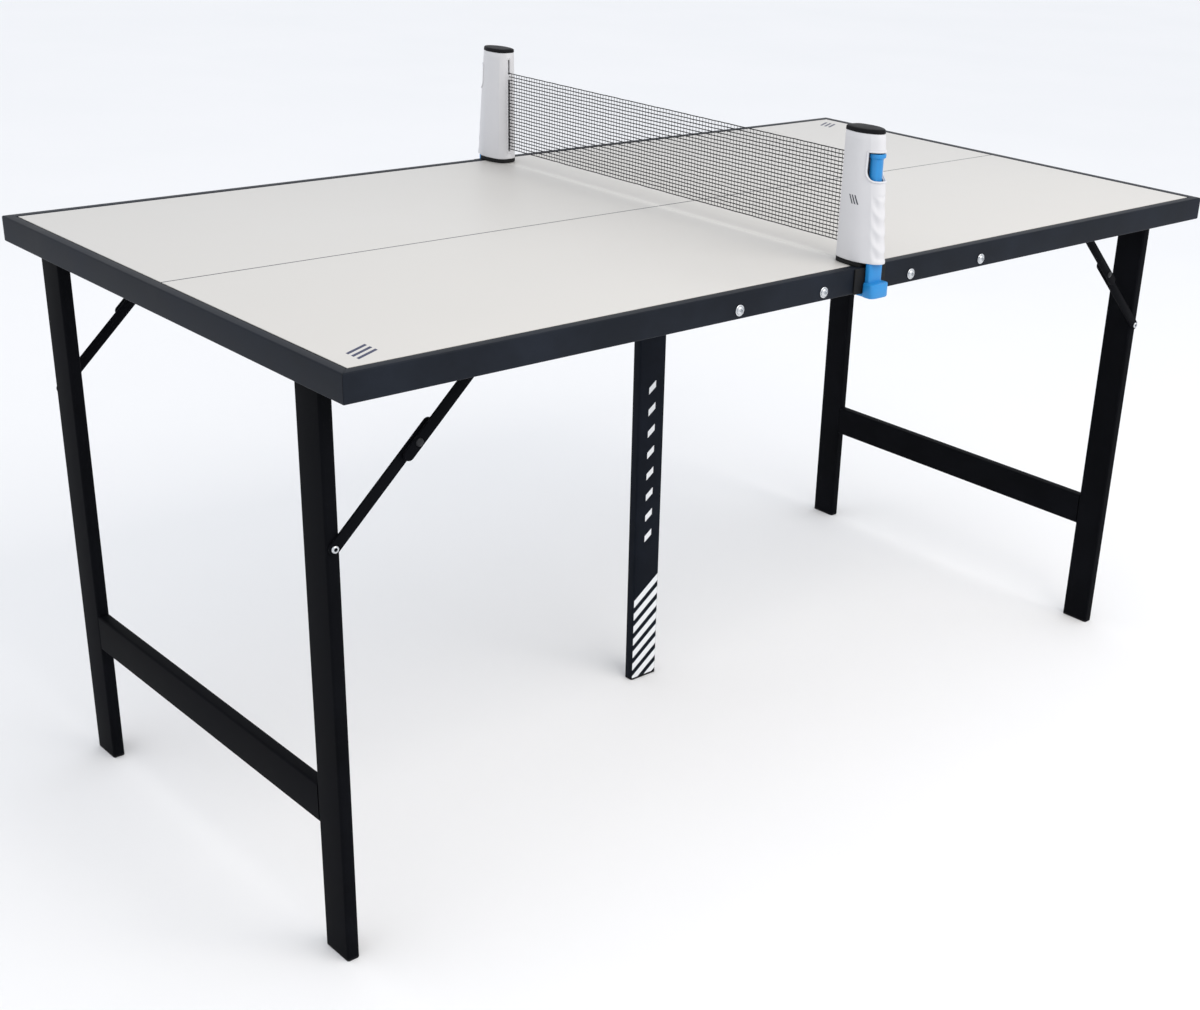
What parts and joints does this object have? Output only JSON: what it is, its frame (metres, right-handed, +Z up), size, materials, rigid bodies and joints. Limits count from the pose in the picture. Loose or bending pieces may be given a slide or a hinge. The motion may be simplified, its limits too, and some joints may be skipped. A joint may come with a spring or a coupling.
{
  "type": "folding ping pong table",
  "caption": "Small folding ping pong table: two bolted framed boards on fold-flat leg frames with two-link stays, a centre leg and a clamp-on roll-up net.",
  "frame": {"origin": "on the floor under the middle of the table", "axes": "+X along the table towards the right half, +Y across it away from the viewer, +Z up"},
  "size_m": [1.4, 0.768, 0.839],
  "materials": {
    "black_steel": "satin black powder coat",
    "white_board": "painted fibreboard, matt off-white",
    "zinc_steel": "bright zinc plate",
    "black_plastic": "moulded black",
    "grey_plastic": "moulded pale grey, satin",
    "blue_plastic": "moulded blue, satin",
    "black_rubber": "matt black",
    "net_cord": "knotted black cord mesh"
  },
  "bodies": {
    "table_top": {"end_rail_left": "black_steel", "end_rail_right": "black_steel", "middle_rail_left": "black_steel", "middle_rail_right": "black_steel", "top_panel_left": "white_board", "top_panel_right": "white_board", "leg_axle_left": "zinc_steel", "leg_axle_right": "zinc_steel", "long_rail_left_near": "black_steel", "stay_bracket_left_near": "black_steel", "joint_bolt_left_near_1": "zinc_steel", "joint_bolt_left_near_2": "zinc_steel", "long_rail_left_far": "black_steel", "stay_bracket_left_far": "black_steel", "joint_bolt_left_far_1": "zinc_steel", "joint_bolt_left_far_2": "zinc_steel", "long_rail_right_near": "black_steel", "stay_bracket_right_near": "black_steel", "joint_bolt_right_near_1": "zinc_steel", "joint_bolt_right_near_2": "zinc_steel", "long_rail_right_far": "black_steel", "stay_bracket_right_far": "black_steel", "joint_bolt_right_far_1": "zinc_steel", "joint_bolt_right_far_2": "zinc_steel", "joining_plate_near": "zinc_steel", "joining_plate_far": "zinc_steel", "centre_bracket": "black_steel", "centre_pivot_bolt": "zinc_steel", "post_housing_near": "grey_plastic", "post_cap_near": "black_plastic", "post_base_pad_near": "black_rubber", "clamp_spring_near": "zinc_steel", "post_housing_far": "grey_plastic", "post_cap_far": "black_plastic", "post_base_pad_far": "black_rubber", "clamp_spring_far": "zinc_steel", "net_spool": "grey_plastic", "net": "net_cord"},
    "leg_frame_left": {"stretcher_left": "black_steel", "leg_left_near": "black_steel", "foot_cap_left_near": "black_plastic", "leg_left_far": "black_steel", "foot_cap_left_far": "black_plastic"},
    "leg_frame_right": {"stretcher_right": "black_steel", "leg_right_near": "black_steel", "foot_cap_right_near": "black_plastic", "leg_right_far": "black_steel", "foot_cap_right_far": "black_plastic"},
    "centre_leg_body": {"centre_leg": "black_steel", "centre_foot_cap": "black_plastic"},
    "lower_link_left_near": {"stay_lower_left_near": "black_steel"},
    "upper_link_left_near": {"stay_upper_left_near": "black_steel"},
    "lower_link_left_far": {"stay_lower_left_far": "black_steel"},
    "upper_link_left_far": {"stay_upper_left_far": "black_steel"},
    "lower_link_right_near": {"stay_lower_right_near": "black_steel"},
    "upper_link_right_near": {"stay_upper_right_near": "black_steel"},
    "lower_link_right_far": {"stay_lower_right_far": "black_steel"},
    "upper_link_right_far": {"stay_upper_right_far": "black_steel"},
    "clamp_near": {"clamp_plunger_near": "blue_plastic"},
    "clamp_far": {"clamp_plunger_far": "blue_plastic"}
  },
  "joints": [
    {"name": "leg_fold_left", "type": "hinge", "parent": "table_top", "child": "leg_frame_left", "pos_m": [-0.6792, 0, 0.663], "axis": [0, -1, 0], "range_deg": [0, 90]},
    {"name": "leg_fold_right", "type": "hinge", "parent": "table_top", "child": "leg_frame_right", "pos_m": [0.6792, 0, 0.663], "axis": [0, 1, 0], "range_deg": [0, 90]},
    {"name": "stay_lower_left_near", "type": "hinge", "parent": "leg_frame_left", "child": "lower_link_left_near", "pos_m": [-0.6792, -0.3006, 0.488], "axis": [0, -1, 0], "range_deg": [-133.38, 0]},
    {"name": "stay_upper_left_near", "type": "hinge", "parent": "table_top", "child": "upper_link_left_near", "pos_m": [-0.494, -0.3066, 0.663], "axis": [0, -1, 0], "range_deg": [0, 136.62]},
    {"name": "stay_lower_left_far", "type": "hinge", "parent": "leg_frame_left", "child": "lower_link_left_far", "pos_m": [-0.6792, 0.3006, 0.488], "axis": [0, -1, 0], "range_deg": [-133.38, 0]},
    {"name": "stay_upper_left_far", "type": "hinge", "parent": "table_top", "child": "upper_link_left_far", "pos_m": [-0.494, 0.3066, 0.663], "axis": [0, -1, 0], "range_deg": [0, 136.62]},
    {"name": "stay_lower_right_near", "type": "hinge", "parent": "leg_frame_right", "child": "lower_link_right_near", "pos_m": [0.6792, -0.3006, 0.488], "axis": [0, 1, 0], "range_deg": [-133.38, 0]},
    {"name": "stay_upper_right_near", "type": "hinge", "parent": "table_top", "child": "upper_link_right_near", "pos_m": [0.494, -0.3066, 0.663], "axis": [0, 1, 0], "range_deg": [0, 136.62]},
    {"name": "stay_lower_right_far", "type": "hinge", "parent": "leg_frame_right", "child": "lower_link_right_far", "pos_m": [0.6792, 0.3006, 0.488], "axis": [0, 1, 0], "range_deg": [-133.38, 0]},
    {"name": "stay_upper_right_far", "type": "hinge", "parent": "table_top", "child": "upper_link_right_far", "pos_m": [0.494, 0.3066, 0.663], "axis": [0, 1, 0], "range_deg": [0, 136.62]},
    {"name": "centre_leg_fold", "type": "hinge", "parent": "table_top", "child": "centre_leg_body", "pos_m": [0, 0.00905, 0.627], "axis": [0, -1, 0], "range_deg": [0, 90]},
    {"name": "clamp_press_near", "type": "slide", "parent": "table_top", "child": "clamp_near", "axis": [0, 0, -1], "range_m": [0, 0.018], "stiffness_N_per_m": 1200, "springref_m": -0.012, "deforming": ["clamp_spring_near"]},
    {"name": "clamp_press_far", "type": "slide", "parent": "table_top", "child": "clamp_far", "axis": [0, 0, -1], "range_m": [0, 0.018], "stiffness_N_per_m": 1200, "springref_m": -0.012, "deforming": ["clamp_spring_far"]}
  ],
  "couplings": [
    {"joint": "stay_lower_left_near", "follows": "leg_fold_left", "ratio": -1.482},
    {"joint": "stay_upper_left_near", "follows": "leg_fold_left", "ratio": 1.518},
    {"joint": "stay_lower_left_far", "follows": "leg_fold_left", "ratio": -1.482},
    {"joint": "stay_upper_left_far", "follows": "leg_fold_left", "ratio": 1.518},
    {"joint": "stay_lower_right_near", "follows": "leg_fold_right", "ratio": -1.482},
    {"joint": "stay_upper_right_near", "follows": "leg_fold_right", "ratio": 1.518},
    {"joint": "stay_lower_right_far", "follows": "leg_fold_right", "ratio": -1.482},
    {"joint": "stay_upper_right_far", "follows": "leg_fold_right", "ratio": 1.518}
  ]
}
